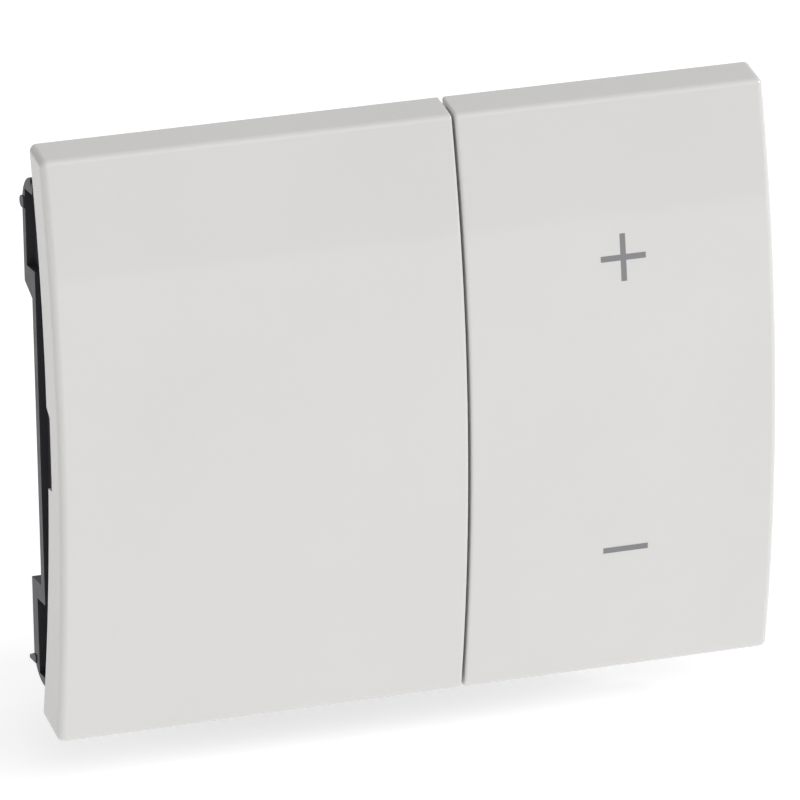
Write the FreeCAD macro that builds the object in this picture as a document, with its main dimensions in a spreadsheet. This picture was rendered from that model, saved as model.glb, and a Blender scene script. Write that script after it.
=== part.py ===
import FreeCAD, Part
import os
import re
import Sketcher

# Flush two-key electronic dimmer: a wide on/off key and a narrower key for brighter and darker rock
# on steel pins in a snap-in carrier. Behind the carrier a shallow housing holds the electronics.
#
# Frame: X to the right, Z up, Y into the wall. The origin is the centre of the carrier's seating
# plane, the plane that rests on the mounting frame. The keys stand in front of it, at negative Y.

DIMENSIONS = {
    # key covers
    "key_half_width": 31.48,
    "key_half_height": 25.0,
    "key_edge_y": -5.6,
    "key_bow": 2.78,
    "key_split_x": 4.07,
    "key_gap": 0.24,
    "key_face_wall": 1.5,
    "key_skirt_wall": 1.1,
    "skirt_middle_depth": 3.28,
    "skirt_top_depth": 3.05,
    "skirt_top_flare": 0.75,
    "skirt_bottom_depth": 4.1,
    "skirt_bottom_inset": 1.1,
    "skirt_bottom_wall": 1.15,
    "notch_depth": 0.8,
    "notch_low_z": -2.9,
    "notch_high_z": 3.4,
    "notch_ramp": 1.27,
    "weld": 0.3,
    "key_corner_radius": 0.6,
    "key_edge_radius": 0.6,
    "key_gap_radius": 0.25,
    # signs on the right key
    "mark_x": 18.02,
    "plus_z": 11.74,
    "minus_z": -13.74,
    "mark_length": 4.0,
    "mark_line": 0.5,
    "mark_thickness": 0.15,
    # pivots
    "pivot_y": -3.75,
    "pin_radius": 0.8,
    "hub_bore_radius": 0.85,
    "hub_radius": 1.5,
    "hub_width": 1.8,
    "pillar_radius": 1.4,
    "pillar_width": 1.8,
    "pillar_foot_half": 2.1,
    "hub_side_gap": 0.4,
    "left_pin_start": -22.8,
    "left_pin_stop": 1.2,
    "right_pin_start": 7.0,
    "right_pin_stop": 22.8,
    # carrier
    "flange_half_width": 30.82,
    "carrier_half_width": 30.2,
    "carrier_half_height": 22.5,
    "carrier_flange": 0.9,
    "tower_half_height": 21.3,
    "carrier_wall": 1.5,
    "carrier_corner_radius": 1.0,
    "wall_middle_y": -5.75,
    "wall_end_y": -3.65,
    "floor_front_y": -1.95,
    "floor_rear_y": -0.75,
    "pocket_half_width": 22.2,
    "pocket_half_height": 19.2,
    "lug_depth": 1.95,
    "lower_lug_depth": 2.55,
    "lug_width": 1.6,
    "lug_inner_z": 12.9,
    "lug_outer_z": 21.7,
    "lug_chamfer": 1.0,
    "lug_round": 2.0,
    "shoulder": 0.72,
    "upper_shoulder_drop": 0.25,
    "lower_shoulder_drop": 0.42,
    "recess_depth": 0.7,
    "recess_rear_y": 1.2,
    "recess_margin": 1.5,
    "overcut": 0.5,
    "gap_slot_low_x": 2.2,
    "gap_slot_high_x": 5.7,
    "gap_slot_y": -1.35,
    "catch_root": 0.6,
    "catch_proud": 0.1,
    "bead_z": 19.7,
    "bead_height": 1.0,
    "bead_depth": 0.45,
    "barb_z": 20.35,
    "barb_height": 0.3,
    "barb_ramp": 0.4,
    "barb_depth": 1.0,
    "fixing_x": 26.0,
    "fixing_radius": 1.7,
    # plungers, springs and tactile switches
    "left_plunger_x": -13.9,
    "right_plunger_x": 16.2,
    "plunger_z": 15.0,
    "plunger_head_front_y": -4.85,
    "plunger_head_thickness": 0.8,
    "plunger_head_radius": 2.5,
    "plunger_stem_radius": 1.2,
    "plunger_tip_y": 0.07,
    "plunger_clearance": 0.06,
    "guide_radius": 2.1,
    "guide_rear_y": -0.05,
    "actuator_radius": 1.5,
    "actuator_gap": 0.1,
    "spring_radius": 1.75,
    "spring_wire_radius": 0.15,
    "spring_turns": 3.0,
    "switch_half_size": 2.25,
    "switch_edge_radius": 0.3,
    "switch_front_y": 0.95,
    "switch_well_y": 1.85,
    "button_radius": 1.1,
    "button_clearance": 0.05,
    "button_front_y": 0.65,
    "button_rear_y": 1.55,
    # boards
    "board_half_width": 20.2,
    "board_half_height": 17.2,
    "board_front_y": 2.45,
    "board_rear_y": 3.65,
    "board_corner_radius": 1.5,
    "power_half_width": 15.6,
    "power_front_y": 7.75,
    "power_rear_y": 9.15,
    "chip_half_size": 3.5,
    "chip_x": 1.5,
    "chip_thickness": 1.0,
    "chip_chamfer": 0.3,
    "header_z": 14.6,
    "header_half_width": 1.25,
    "header_pitch": 2.54,
    "header_pin_half": 0.32,
    "header_pin_overrun": 1.0,
    # power parts
    "transistor_x": 6.5,
    "transistor_z": -3.0,
    "transistor_half_width": 3.3,
    "transistor_half_height": 3.0,
    "transistor_thickness": 2.3,
    "leg_pitch": 2.3,
    "leg_half_width": 0.4,
    "leg_thickness": 0.6,
    "leg_length": 1.8,
    "spreader_half_width": 11.0,
    "spreader_half_height": 4.5,
    "spreader_thickness": 0.8,
    "choke_x": -8.2,
    "choke_z": 8.0,
    "core_outer_radius": 5.6,
    "core_inner_radius": 3.2,
    "core_start_y": 10.05,
    "core_height": 3.6,
    "choke_wire_radius": 0.4,
    "film_x": 5.8,
    "film_z": 11.0,
    "film_half_length": 5.8,
    "film_half_width": 2.6,
    "film_height": 5.4,
    "film_edge_radius": 0.4,
    "electrolytic_z": 5.2,
    "electrolytic_radius": 2.7,
    "electrolytic_start_x": 1.0,
    "electrolytic_length": 10.5,
    "electrolytic_lift": 0.1,
    "crimp_inset": 1.4,
    "crimp_radius": 0.35,
    "varistor_x": 8.8,
    "varistor_z": -3.6,
    "varistor_radius": 3.4,
    "varistor_height": 3.2,
    "varistor_edge_radius": 0.9,
    "fuse_x": -8.0,
    "fuse_z": -4.6,
    "fuse_radius": 1.3,
    "fuse_half_length": 4.5,
    "fuse_cap_length": 1.6,
    "fuse_cap_thickness": 0.25,
    "fuse_lift": 0.35,
    # rear housing and screws
    "housing_half_width": 22.0,
    "housing_half_height": 19.0,
    "housing_wall": 1.5,
    "housing_rear_y": 16.6,
    "housing_corner_radius": 2.5,
    "housing_rear_radius": 0.8,
    "screw_x": 18.3,
    "screw_z": 9.0,
    "screw_boss_radius": 2.3,
    "standoff_radius": 2.05,
    "screw_radius": 0.95,
    "screw_hole_radius": 1.15,
    "screw_head_radius": 1.9,
    "screw_head_height": 1.0,
    "screw_head_clearance": 0.1,
    "drive_half_length": 1.1,
    "drive_half_width": 0.2,
    "screw_end_y": 8.2,
    "post_x": 13.7,
    "post_z": 15.4,
    "post_radius": 1.3,
    "vent_pitch": 2.6,
    "vent_half_width": 0.7,
    "vent_low_z": 0.0,
    "vent_high_z": 11.0,
    # terminals
    "terminal_half_width": 11.0,
    "terminal_low_z": -16.8,
    "terminal_high_z": -9.2,
    "terminal_pitch": 7.0,
    "port_half_width": 1.5,
    "port_low_z": -15.4,
    "port_high_z": -12.4,
    "port_floor_y": 10.5,
    "release_half_width": 1.1,
    "release_low_z": -11.6,
    "release_high_z": -10.0,
    "release_front_y": 12.5,
    "release_proud": 0.5,
    "release_slot_y": 11.3,
    "release_clearance": 0.08,
    "release_edge_radius": 0.2,
    "clip_thickness": 0.35,
    "clip_length": 4.2,
    "clip_side_gap": 0.2,
    "clip_lean": 16.0,
}

doc = FreeCAD.newDocument("two_key_dimmer")
sheet = doc.addObject("Spreadsheet::Sheet", "Dimensions")
for row, (alias, size) in enumerate(DIMENSIONS.items(), start=1):
    sheet.set(f"A{row}", alias)
    sheet.set(f"B{row}", str(size))
    sheet.setAlias(f"B{row}", alias)
doc.recompute()

PIECES = []
WORD = re.compile(r"\b[a-z][a-z_]*\b")


def sized(text):
    """Turn a formula in plain sheet names into an expression that reads the sheet's cells."""
    return WORD.sub(lambda m: "Dimensions." + m[0] if m[0] in DIMENSIONS else m[0], str(text))


def number(text):
    """Value of a formula in sheet names, for the first guess of a sketch's geometry."""
    result = sheet.evalExpression(sized(text))
    return float(getattr(result, "Value", result))


def bind(item, prop, text):
    """Tie one property of a document object to a formula."""
    item.setExpression(prop, sized(text))


def piece(item, name):
    """Register a finished sub-part under its node name."""
    item.Label = name
    PIECES.append(item)
    return item


def mirrored(half):
    """Low and high formula of a span that is symmetric about zero."""
    return (f"-({half})", half)


def around(centre, half):
    """Low and high formula of a span about a centre."""
    return (f"{centre} - ({half})", f"{centre} + ({half})")


# ---------------------------------------------------------------- part primitives and booleans

def box(name, x, y, z):
    """Box between a low and a high formula along each axis."""
    item = doc.addObject("Part::Box", name)
    for axis, side, (low, high) in zip("xyz", ("Length", "Width", "Height"), (x, y, z)):
        bind(item, side, f"({high}) - ({low})")
        bind(item, f".Placement.Base.{axis}", low)
    return item


def cylinder(name, axis, centre, low, high, radius):
    """Cylinder along X or Y, from low to high, centred on the two other coordinates."""
    item = doc.addObject("Part::Cylinder", name)
    turn = {"x": (FreeCAD.Vector(0, 1, 0), 90), "y": (FreeCAD.Vector(1, 0, 0), -90)}[axis]
    item.Placement.Rotation = FreeCAD.Rotation(*turn)
    others = [letter for letter in "xyz" if letter != axis]
    bind(item, "Radius", radius)
    bind(item, "Height", f"({high}) - ({low})")
    bind(item, f".Placement.Base.{axis}", low)
    for letter, where in zip(others, centre):
        bind(item, f".Placement.Base.{letter}", where)
    return item


def cut(name, base, *tools):
    """Base without the tools."""
    item = doc.addObject("Part::Cut", name)
    item.Base = base
    item.Tool = tools[0] if len(tools) == 1 else join(name + "_tools", *tools)
    return item


def join(name, *shapes):
    """Union of touching shapes, or a group of separate solids."""
    item = doc.addObject("Part::MultiFuse", name)
    item.Shapes = list(shapes)
    return item


def rounded(name, base, radius, wanted):
    """Fillet on the edges of base that the test picks."""
    doc.recompute()
    item = doc.addObject("Part::Fillet", name)
    item.Base = base
    size = number(radius)
    picked = [i for i, edge in enumerate(base.Shape.Edges, start=1) if wanted(edge)]
    item.Edges = [(i, size, size) for i in picked]
    return item


# ---------------------------------------------------------------- PartDesign bodies

def new_body(name):
    return doc.addObject("PartDesign::Body", name)


def add_sketch(body, role, name, offset):
    """Empty sketch on one of the body's own origin planes, moved along the plane's normal."""
    sketch = body.newObject("Sketcher::SketchObject", name)
    plane = [item for item in body.Origin.OriginFeatures if item.Role == role][0]
    sketch.AttachmentSupport = [(plane, "")]
    sketch.MapMode = "FlatFace"
    bind(sketch, ".AttachmentOffset.Base.z", offset)
    return sketch


def side_sketch(body, name, x):
    """Sketch seen from the side: its axes are Y and Z, at the given X."""
    return add_sketch(body, "YZ_Plane", name, x)


def front_sketch(body, name, y):
    """Sketch seen from the front: its axes are X and Z, at the given Y. Its normal points at -Y."""
    return add_sketch(body, "XZ_Plane", name, f"-({y})")


def pin_point(sketch, index, vertex, across, up):
    """Fix one point of a sketch at two formulas."""
    for kind, text in (("DistanceX", across), ("DistanceY", up)):
        rule = sketch.addConstraint(Sketcher.Constraint(kind, -1, 1, index, vertex, number(text)))
        bind(sketch, f"Constraints[{rule}]", text)


def draw_outline(sketch, corners, arcs=None):
    """Closed outline through the corners. arcs gives a middle point for each edge that is an arc."""
    arcs = arcs or {}
    spots = [FreeCAD.Vector(number(across), number(up), 0) for across, up in corners]
    ends = []
    for i, start in enumerate(spots):
        stop = spots[(i + 1) % len(spots)]
        if i in arcs:
            middle = FreeCAD.Vector(number(arcs[i][0]), number(arcs[i][1]), 0)
            index = sketch.addGeometry(Part.Arc(start, middle, stop), False)
            forward = sketch.getPoint(index, 1).distanceToPoint(start) < 1e-6
            ends.append((index, 1, 2) if forward else (index, 2, 1))
            spot = sketch.addGeometry(Part.Point(middle), True)
            pin_point(sketch, spot, 1, *arcs[i])
            sketch.addConstraint(Sketcher.Constraint("PointOnObject", spot, 1, index))
        else:
            index = sketch.addGeometry(Part.LineSegment(start, stop), False)
            ends.append((index, 1, 2))
    for i, (index, first, last) in enumerate(ends):
        after = ends[(i + 1) % len(ends)]
        sketch.addConstraint(Sketcher.Constraint("Coincident", index, last, after[0], after[1]))
        pin_point(sketch, index, first, *corners[i])
    return sketch


def draw_rectangle(sketch, left, right, low, high):
    return draw_outline(sketch, [(left, low), (right, low), (right, high), (left, high)])


def draw_circles(sketch, centres, radius):
    for across, up in centres:
        middle = FreeCAD.Vector(number(across), number(up), 0)
        normal = FreeCAD.Vector(0, 0, 1)
        index = sketch.addGeometry(Part.Circle(middle, normal, number(radius)), False)
        rule = sketch.addConstraint(Sketcher.Constraint("Radius", index, number(radius)))
        bind(sketch, f"Constraints[{rule}]", radius)
        pin_point(sketch, index, 3, across, up)
    return sketch


def extrude(body, kind, name, sketch, length, midplane=False, backwards=False):
    """Pad or Pocket of a sketch. A Pad runs along the sketch's normal and a Pocket against it."""
    before = body.Shape.Volume if body.Tip and not body.Shape.isNull() else 0.0
    item = body.newObject("PartDesign::" + kind, name)
    item.Profile = sketch
    item.Midplane = midplane
    item.Reversed = backwards
    bind(item, "Length", length)
    doc.recompute()
    after = item.Shape.Volume
    changed = after > before if kind == "Pad" else after < before
    if not changed:
        raise RuntimeError(f"{body.Name}: {name} changed nothing")
    return item


def pad(body, name, sketch, length, **options):
    return extrude(body, "Pad", name, sketch, length, **options)


def pocket(body, name, sketch, length, **options):
    return extrude(body, "Pocket", name, sketch, length, **options)


def dress(body, kind, name, size_name, size, wanted):
    """Fillet or Chamfer on the edges of the body's tip that the test picks."""
    base = body.Tip
    names = [f"Edge{i}" for i, edge in enumerate(base.Shape.Edges, start=1) if wanted(edge)]
    item = body.newObject("PartDesign::" + kind, name)
    item.Base = (base, names)
    bind(item, size_name, size)
    doc.recompute()
    return item


def fillet(body, name, radius, wanted):
    return dress(body, "Fillet", name, "Radius", radius, wanted)


def middle_of(edge):
    return edge.valueAt((edge.FirstParameter + edge.LastParameter) / 2)


def runs_along(edge, axis):
    """True for a straight edge that is nearly parallel to one axis."""
    if not isinstance(edge.Curve, Part.Line):
        return False
    direction = edge.tangentAt(edge.FirstParameter)
    return abs(getattr(direction, axis)) > 0.9


# ---------------------------------------------------------------- keys

BOW_RADIUS = "(key_half_height * key_half_height + key_bow * key_bow) / (2 * key_bow)"
CROWN_Y = "(key_edge_y - key_bow)"
TOP_SKIRT_SLOPE = "(skirt_top_flare / skirt_top_depth)"
BOTTOM_SKIRT_SLOPE = "(skirt_bottom_inset / skirt_bottom_depth)"


def face_inside_y(z):
    """Inner surface of the key's face at a height, from the sagitta of its bow."""
    return f"({CROWN_Y} + key_face_wall + key_bow * ({z}) * ({z}) / (key_half_height * key_half_height))"


def top_inside_z(y):
    """Inner surface of the top skirt, which flares outwards towards the wall."""
    return f"(key_half_height - key_skirt_wall + ({y} - key_edge_y) * {TOP_SKIRT_SLOPE})"


def bottom_inside_z(y):
    """Inner surface of the bottom skirt, which draws in towards the wall."""
    return f"(skirt_bottom_wall - key_half_height + ({y} - key_edge_y) * {BOTTOM_SKIRT_SLOPE})"


def build_key(name, left, right, outer, hub_xs, plunger_x):
    """Bowed key cover: side profile padded across, hollowed from behind, with hubs and actuators."""
    body = new_body(name)
    centre = f"(({left}) + ({right})) / 2"

    profile = side_sketch(body, name + "_profile", centre)
    draw_outline(
        profile,
        [
            ("key_edge_y", "key_half_height"),
            ("key_edge_y", "-key_half_height"),
            ("key_edge_y + skirt_bottom_depth", "skirt_bottom_inset - key_half_height"),
            ("key_edge_y + skirt_top_depth", "key_half_height + skirt_top_flare"),
        ],
        arcs={0: (CROWN_Y, "0"), 2: (CROWN_Y + " + skirt_middle_depth", "0")},
    )
    pad(body, name + "_block", profile, f"({right}) - ({left})", midplane=True)

    outer_x = number(outer)
    inner_x = number(f"({left}) + ({right}) - ({outer})")
    front_y = number(CROWN_Y + " + skirt_middle_depth * 0.6")

    def corner(edge):
        spot = middle_of(edge)
        return abs(spot.x - outer_x) < 0.01 and isinstance(edge.Curve, Part.Line)

    def front_outline(edge):
        spot = middle_of(edge)
        ends = [vertex.Point.y for vertex in edge.Vertexes]
        edge_y = number("key_edge_y")
        at_gap = abs(spot.x - inner_x) < 0.01
        return max(ends) < edge_y + 0.3 and spot.y < edge_y + 0.3 and not at_gap

    def gap_edge(edge):
        spot = middle_of(edge)
        return abs(spot.x - inner_x) < 0.01 and spot.y < front_y

    fillet(body, name + "_corners", "key_corner_radius", corner)
    fillet(body, name + "_edges", "key_edge_radius", front_outline)
    fillet(body, name + "_gap_edge", "key_gap_radius", gap_edge)

    hollow = side_sketch(body, name + "_hollow_profile", centre)
    front_high = face_inside_y("key_half_height - key_skirt_wall")
    open_y = "(key_edge_y + skirt_bottom_depth + overcut)"
    draw_outline(
        hollow,
        [
            (front_high, top_inside_z(front_high)),
            (front_high, bottom_inside_z(front_high)),
            (open_y, bottom_inside_z(open_y)),
            (open_y, top_inside_z(open_y)),
        ],
        arcs={0: (CROWN_Y + " + key_face_wall", "0")},
    )
    width = f"({right}) - ({left}) - 2 * key_skirt_wall"
    pocket(body, name + "_hollow", hollow, width, midplane=True)

    notch = side_sketch(body, name + "_notch_profile", centre)
    rim_y = CROWN_Y + " + skirt_middle_depth"
    draw_outline(
        notch,
        [
            (rim_y + " - notch_depth", "notch_low_z"),
            (rim_y + " - notch_depth", "notch_high_z"),
            (rim_y + " + overcut", "notch_high_z + notch_ramp"),
            (rim_y + " + overcut", "notch_low_z"),
        ],
    )
    pocket(body, name + "_notch", notch, f"({right}) - ({left}) + overcut", midplane=True)

    for i, hub_x in enumerate(hub_xs, start=1):
        web = side_sketch(body, f"{name}_hub_profile_{i}", hub_x)
        draw_outline(
            web,
            [
                (CROWN_Y + " + key_face_wall - weld", "hub_radius"),
                (CROWN_Y + " + key_face_wall - weld", "-hub_radius"),
                ("pivot_y", "-hub_radius"),
                ("pivot_y", "hub_radius"),
            ],
            arcs={2: ("pivot_y + hub_radius", "0")},
        )
        pad(body, f"{name}_hub_{i}", web, "hub_width", midplane=True)
    bore = side_sketch(body, name + "_bore_profile", centre)
    draw_circles(bore, [("pivot_y", "0")], "hub_bore_radius")
    pocket(body, name + "_bore", bore, width, midplane=True)

    actuators = front_sketch(body, name + "_actuator_profile", "plunger_head_front_y - actuator_gap")
    draw_circles(actuators, [(plunger_x, "plunger_z"), (plunger_x, "-plunger_z")], "actuator_radius")
    reach = f"plunger_head_front_y - actuator_gap - {face_inside_y('plunger_z')} + weld"
    pad(body, name + "_actuators", actuators, reach)
    return body


LEFT_EDGE = "-key_half_width"
LEFT_INNER_EDGE = "key_split_x - key_gap / 2"
RIGHT_INNER_EDGE = "key_split_x + key_gap / 2"
RIGHT_EDGE = "key_half_width"


def hub_centres(start, stop):
    """Each key's two hubs run just inside the two pillars that hold the ends of its pin."""
    inset = "pillar_width + hub_side_gap + hub_width / 2"
    return [f"{start} + {inset}", f"{stop} - ({inset})"]


left_hubs = hub_centres("left_pin_start", "left_pin_stop")
right_hubs = hub_centres("right_pin_start", "right_pin_stop")
piece(build_key("key_left", LEFT_EDGE, LEFT_INNER_EDGE, LEFT_EDGE, left_hubs, "left_plunger_x"), "key_left")
right_body = build_key(
    "key_right_blank", RIGHT_INNER_EDGE, RIGHT_EDGE, RIGHT_EDGE, right_hubs, "right_plunger_x"
)

# The signs are let into the face: the stretch of each bar between the bowed front and a second
# cylinder one sign thickness further in.
axis_y = f"{CROWN_Y} + {BOW_RADIUS}"
sign_depth = (CROWN_Y + " - overcut", CROWN_Y + " + key_face_wall")
across_bar = around("mark_x", "mark_length / 2")
upright_bar = around("mark_x", "mark_line / 2")


def sign(name, height, bars):
    bars = [
        box(f"{name}_bar_{i}", x, sign_depth, around(height, half))
        for i, (x, half) in enumerate(bars, start=1)
    ]
    outline = bars[0] if len(bars) == 1 else join(name + "_outline", *bars)
    ends = around("mark_x", "mark_length")
    face = cylinder(name + "_face", "x", (axis_y, "0"), *ends, BOW_RADIUS)
    inset = cylinder(name + "_bed", "x", (axis_y, "0"), *ends, BOW_RADIUS + " - mark_thickness")
    solid = doc.addObject("Part::Common", name + "_block")
    solid.Base = outline
    solid.Tool = face
    return piece(cut(name, solid, inset), name)


plus = sign("plus_mark", "plus_z", [(across_bar, "mark_line / 2"), (upright_bar, "mark_length / 2")])
minus = sign("minus_mark", "minus_z", [(across_bar, "mark_line / 2")])
piece(cut("key_right", right_body, plus, minus), "key_right")


# ---------------------------------------------------------------- carrier

SIDES = (("left", -1), ("right", 1))
PLUNGERS = [(x, f"{s} * plunger_z") for x in ("left_plunger_x", "right_plunger_x") for s in (1, -1)]
SCREWS = [(f"{s} * screw_x", f"{t} * screw_z") for s in (1, -1) for t in (1, -1)]
PILLARS = [
    "left_pin_start + pillar_width / 2",
    "left_pin_stop - pillar_width / 2",
    "right_pin_start + pillar_width / 2",
    "right_pin_stop - pillar_width / 2",
]


def add_tray(body):
    """Flange on the seating plane and the tower in front of it that the keys cover."""
    flange = front_sketch(body, "flange_outline", "0")
    draw_rectangle(flange, *mirrored("flange_half_width"), *mirrored("carrier_half_height"))
    pad(body, "flange", flange, "carrier_flange")

    tower = front_sketch(body, "tower_outline", "-carrier_flange")
    draw_rectangle(tower, *mirrored("carrier_half_width"), *mirrored("tower_half_height"))
    pad(body, "tower", tower, "-wall_end_y - carrier_flange")

    for name, side in SIDES:
        cheek_x = f"{side} * (carrier_half_width - carrier_wall / 2)"
        cheek = side_sketch(body, name + "_cheek_profile", cheek_x)
        draw_outline(
            cheek,
            [
                ("wall_end_y + overcut", "tower_half_height"),
                ("wall_end_y", "tower_half_height"),
                ("wall_end_y", "-tower_half_height"),
                ("wall_end_y + overcut", "-tower_half_height"),
            ],
            arcs={1: ("wall_middle_y", "0")},
        )
        pad(body, name + "_cheek", cheek, "carrier_wall", midplane=True)


def add_hollows(body):
    """Well for the keys, slots for their facing skirts, and the pocket for the electronics."""
    well = front_sketch(body, "well_outline", "wall_middle_y")
    well_x = mirrored("carrier_half_width - carrier_wall")
    draw_rectangle(well, *well_x, *mirrored("tower_half_height - carrier_wall"))
    pocket(body, "well", well, "floor_front_y - wall_middle_y")

    for name, side in (("bottom", -1), ("top", 1)):
        slot = front_sketch(body, name + "_gap_slot_outline", "wall_middle_y")
        wall = f"{side} * (tower_half_height - carrier_wall / 2)"
        draw_rectangle(slot, "gap_slot_low_x", "gap_slot_high_x", *around(wall, "carrier_wall"))
        pocket(body, name + "_gap_slot", slot, "gap_slot_y - wall_middle_y")

    rear = front_sketch(body, "rear_pocket_outline", "floor_rear_y")
    draw_rectangle(rear, *mirrored("pocket_half_width"), *mirrored("pocket_half_height"))
    pocket(body, "rear_pocket", rear, "-floor_rear_y")

    def tower_corner(edge):
        spot = middle_of(edge)
        high = abs(spot.z) > number("tower_half_height - 0.1")
        return runs_along(edge, "y") and abs(spot.x) > number("carrier_half_width - 0.1") and high

    def pocket_corner(edge):
        spot = middle_of(edge)
        inside = abs(abs(spot.x) - number("pocket_half_width")) < 0.01
        return inside and runs_along(edge, "y") and spot.y > number("floor_rear_y")

    fillet(body, "tower_corners", "carrier_corner_radius", tower_corner)
    fillet(body, "pocket_corners", "housing_corner_radius", pocket_corner)


def add_lugs(body, name, side):
    """Two lugs on one end that stand behind the seating plane and snap into the mounting frame."""
    x = f"{side} * (flange_half_width - lug_width / 2)"
    upper = side_sketch(body, name + "_upper_lug_profile", x)
    draw_outline(
        upper,
        [
            ("-carrier_flange / 2", "lug_inner_z - lug_chamfer"),
            ("0", "lug_inner_z - lug_chamfer"),
            ("lug_depth", "lug_inner_z"),
            ("lug_depth", "lug_outer_z - lug_round"),
            ("0", "lug_outer_z + overcut"),
            ("-carrier_flange / 2", "lug_outer_z + overcut"),
        ],
        arcs={3: ("lug_depth * shoulder", "lug_outer_z - lug_round * upper_shoulder_drop")},
    )
    pad(body, name + "_upper_lug", upper, "lug_width", midplane=True)

    lower = side_sketch(body, name + "_lower_lug_profile", x)
    draw_outline(
        lower,
        [
            ("-carrier_flange / 2", "-lug_inner_z"),
            ("-carrier_flange / 2", "-lug_outer_z"),
            ("0", "-lug_outer_z"),
            ("lower_lug_depth", "lug_round - lug_outer_z"),
            ("lower_lug_depth", "-lug_inner_z"),
        ],
        arcs={2: ("lower_lug_depth * shoulder", "lug_round * lower_shoulder_drop - lug_outer_z")},
    )
    pad(body, name + "_lower_lug", lower, "lug_width", midplane=True)


def add_catches(body, name, side):
    """A rounded bead on the upper lug and a barb with a lead-in ramp on the lower one."""
    x = f"{side} * (flange_half_width - lug_width / 2 + catch_proud / 2)"
    bead = side_sketch(body, name + "_bead_profile", x)
    bead_low, bead_high = around("bead_z", "bead_height / 2")
    draw_outline(
        bead,
        [
            ("lug_depth - catch_root", bead_low),
            ("lug_depth", bead_low),
            ("lug_depth", bead_high),
            ("lug_depth - catch_root", bead_high),
        ],
        arcs={1: ("lug_depth + bead_depth", "bead_z")},
    )
    pad(body, name + "_bead", bead, "lug_width + catch_proud", midplane=True)

    barb = side_sketch(body, name + "_barb_profile", x)
    draw_outline(
        barb,
        [
            ("lower_lug_depth - catch_root", "-barb_z"),
            ("lower_lug_depth + barb_depth", "-barb_z"),
            ("lower_lug_depth + barb_depth", "barb_height - barb_z"),
            ("lower_lug_depth", "barb_height + barb_ramp - barb_z"),
            ("lower_lug_depth - catch_root", "barb_height + barb_ramp - barb_z"),
        ],
    )
    pad(body, name + "_barb", barb, "lug_width + catch_proud", midplane=True)


def add_recesses(body, name, side):
    """Shallow panels moulded into the outer faces of the lugs."""
    x = f"{side} * (flange_half_width - recess_depth / 2 + overcut / 2)"
    front_y = "-carrier_flange - overcut"
    for end, direction in (("upper", "1"), ("lower", "-1")):
        inner = f"{direction} * (lug_inner_z + recess_margin)"
        outer = f"{direction} * (lug_outer_z - recess_margin / 2)"
        panel = side_sketch(body, f"{name}_{end}_recess_profile", x)
        draw_rectangle(panel, front_y, "recess_rear_y", inner, outer)
        pocket(body, f"{name}_{end}_recess", panel, "recess_depth + overcut", midplane=True)


def add_pillars(body):
    """Four bored ears that hold the ends of the two pivot pins."""
    for i, x in enumerate(PILLARS, start=1):
        ear = side_sketch(body, f"pillar_profile_{i}", x)
        draw_outline(
            ear,
            [
                ("floor_front_y + weld", "-pillar_foot_half"),
                ("floor_front_y + weld", "pillar_foot_half"),
                ("pivot_y", "pillar_radius"),
                ("pivot_y", "-pillar_radius"),
            ],
            arcs={2: ("pivot_y - pillar_radius", "0")},
        )
        pad(body, f"pillar_{i}", ear, "pillar_width", midplane=True)
        seat = side_sketch(body, f"pillar_bore_profile_{i}", x)
        draw_circles(seat, [("pivot_y", "0")], "pin_radius")
        pocket(body, f"pillar_bore_{i}", seat, "pillar_width + overcut", midplane=True)


def add_floor_details(body):
    """Plunger guides, board standoffs and every hole through the carrier's floor."""
    guides = front_sketch(body, "guide_outline", "guide_rear_y")
    draw_circles(guides, PLUNGERS, "guide_radius")
    pad(body, "guides", guides, "guide_rear_y - floor_rear_y + weld")
    standoffs = front_sketch(body, "standoff_outline", "board_front_y")
    draw_circles(standoffs, SCREWS, "standoff_radius")
    pad(body, "standoffs", standoffs, "board_front_y - floor_rear_y + weld")

    to_board = "board_front_y - floor_front_y"
    drilled = [
        ("guide_holes", PLUNGERS, "plunger_stem_radius + plunger_clearance", to_board),
        ("screw_holes", SCREWS, "screw_hole_radius", to_board),
        ("head_recesses", SCREWS, "screw_head_radius + screw_head_clearance", "screw_head_height"),
        ("fixing_holes", [("-fixing_x", "0"), ("fixing_x", "0")], "fixing_radius", "-floor_front_y"),
    ]
    for name, centres, radius, depth in drilled:
        outline = front_sketch(body, name + "_outline", "floor_front_y")
        draw_circles(outline, centres, radius)
        pocket(body, name, outline, depth)


def build_carrier():
    """Tray with a floor at mid-depth: keys and plungers in front of it, electronics behind."""
    body = new_body("carrier_frame")
    add_tray(body)
    add_hollows(body)
    for name, side in SIDES:
        add_lugs(body, name, side)
        add_catches(body, name, side)
        add_recesses(body, name, side)
    add_pillars(body)
    add_floor_details(body)
    return body


piece(build_carrier(), "carrier_frame")


# ---------------------------------------------------------------- pins, plungers, springs, switches

for side in ("left", "right"):
    name = f"pivot_pin_{side}"
    pin = cylinder(name, "x", ("pivot_y", "0"), f"{side}_pin_start", f"{side}_pin_stop", "pin_radius")
    piece(pin, name)


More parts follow.
